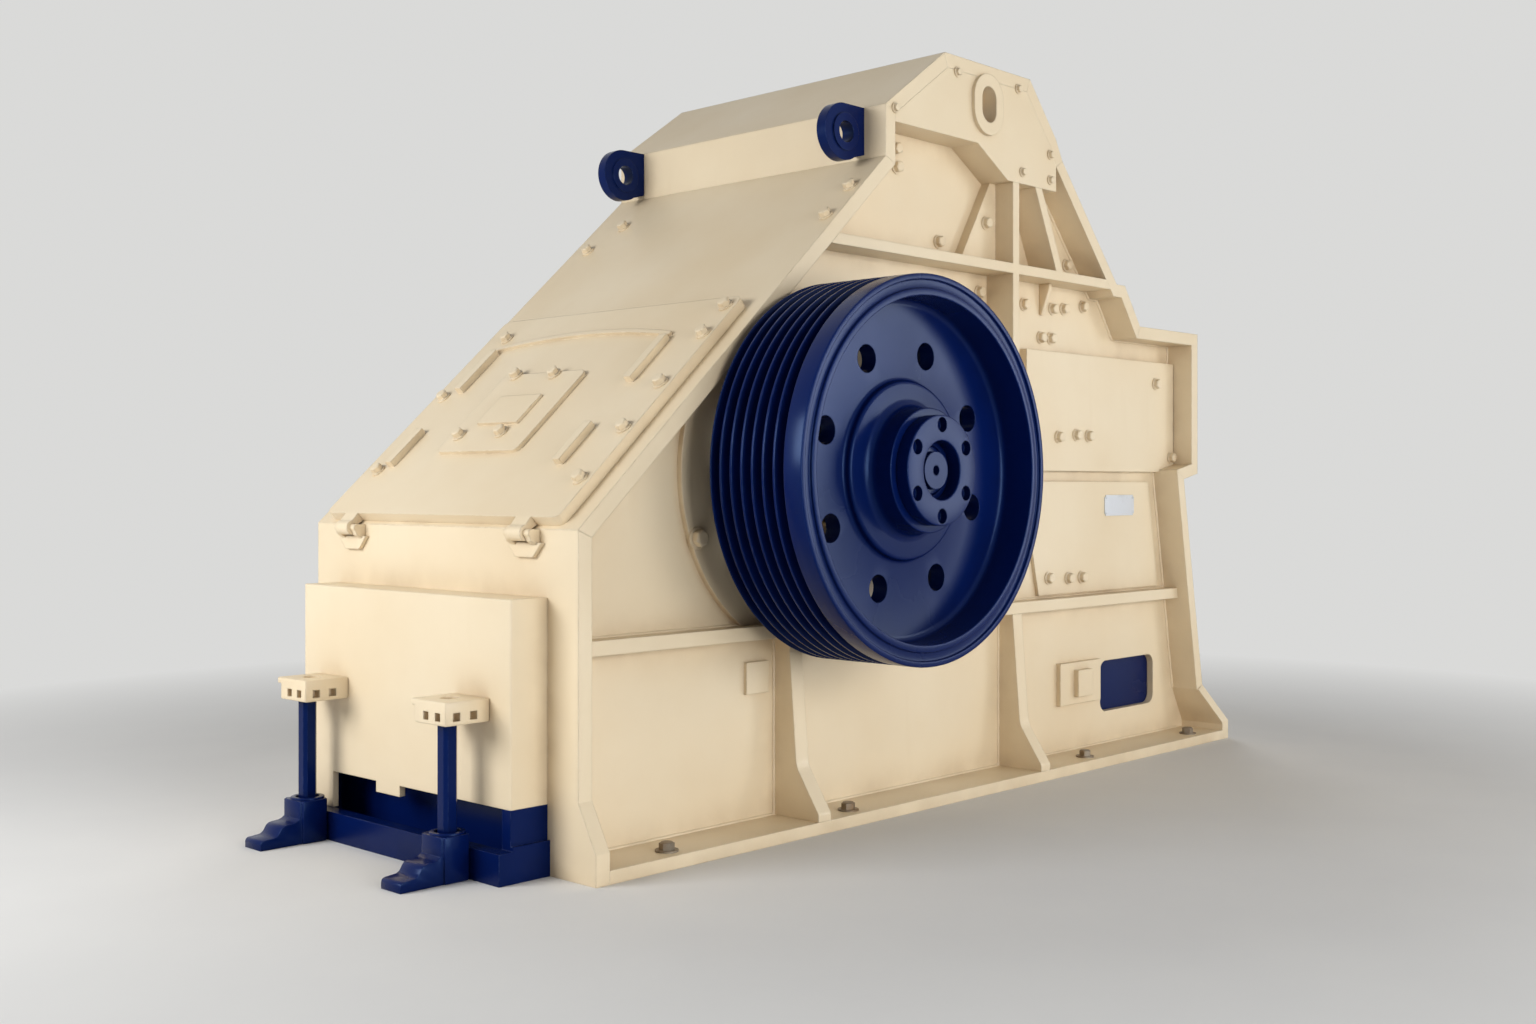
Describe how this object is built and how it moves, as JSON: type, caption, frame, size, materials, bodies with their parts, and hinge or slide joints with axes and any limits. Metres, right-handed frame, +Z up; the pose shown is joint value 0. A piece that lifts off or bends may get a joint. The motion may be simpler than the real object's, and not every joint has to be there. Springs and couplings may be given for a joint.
{
  "type": "impact crusher",
  "caption": "Horizontal-shaft impact crusher: welded plate housing with peaked roof, grooved drive pulley, sloping access hatch, front hood on spindles and base flanges.",
  "frame": {"origin": "floor level, at the centre of the outer foundation slots, midway between the side walls", "axes": "+X along the machine from the front hood to the feed box, +Y across it away from the pulley, +Z up"},
  "size_m": [4.145, 1.919, 2.712],
  "materials": {
    "cream_paint": "smooth warm cream paint, half gloss",
    "blue_paint": "glossy dark ultramarine paint",
    "bare_steel": "turned steel",
    "dark_steel": "dull wear steel"
  },
  "bodies": {
    "housing": {"apron": "dark_steel", "apron_shaft": "bare_steel", "crown_plate": "cream_paint", "far_base": "cream_paint", "far_bearing": "cream_paint", "far_box_panel": "cream_paint", "far_cheek": "cream_paint", "far_cover": "cream_paint", "far_front_gusset": "cream_paint", "far_lower_rib": "cream_paint", "far_lug": "blue_paint", "far_rear_gusset": "cream_paint", "far_side_panel": "cream_paint", "far_spindle": "blue_paint", "far_spindle_block": "blue_paint", "far_spindle_head": "cream_paint", "far_upper_ribs": "cream_paint", "far_wall": "cream_paint", "far_window_panel": "blue_paint", "feed_box": "cream_paint", "feed_pan": "dark_steel", "front_plate": "cream_paint", "hatch_hinge_far": "cream_paint", "hatch_hinge_near": "cream_paint", "hood": "cream_paint", "lower_frame": "blue_paint", "near_base": "cream_paint", "near_bearing": "cream_paint", "near_box_panel": "cream_paint", "near_cheek": "cream_paint", "near_cover": "cream_paint", "near_front_gusset": "cream_paint", "near_lower_rib": "cream_paint", "near_lug": "blue_paint", "near_rear_gusset": "cream_paint", "near_side_panel": "cream_paint", "near_spindle": "blue_paint", "near_spindle_block": "blue_paint", "near_spindle_head": "cream_paint", "near_upper_ribs": "cream_paint", "near_wall": "cream_paint", "near_window_panel": "blue_paint", "rear_plate": "cream_paint", "rear_slope_plate": "cream_paint", "roof_front_plate": "cream_paint", "roof_rear_plate": "cream_paint", "roof_top_plate": "cream_paint", "slope_frame": "cream_paint"},
    "rotor": {"rotor_shaft": "blue_paint", "rotor_body": "dark_steel", "pulley": "blue_paint", "pulley_web": "blue_paint", "clamp_ring": "blue_paint"},
    "hatch": {"hatch": "cream_paint"}
  },
  "joints": [
    {"name": "rotor_spin", "type": "hinge", "parent": "housing", "child": "rotor", "pos_m": [-0.797, 0, 1.184], "axis": [0, 1, 0], "continuous": true},
    {"name": "hatch_swing", "type": "hinge", "parent": "housing", "child": "hatch", "pos_m": [-1.939, 0, 0.997], "axis": [0, -1, 0], "range_deg": [0, 120]}
  ]
}
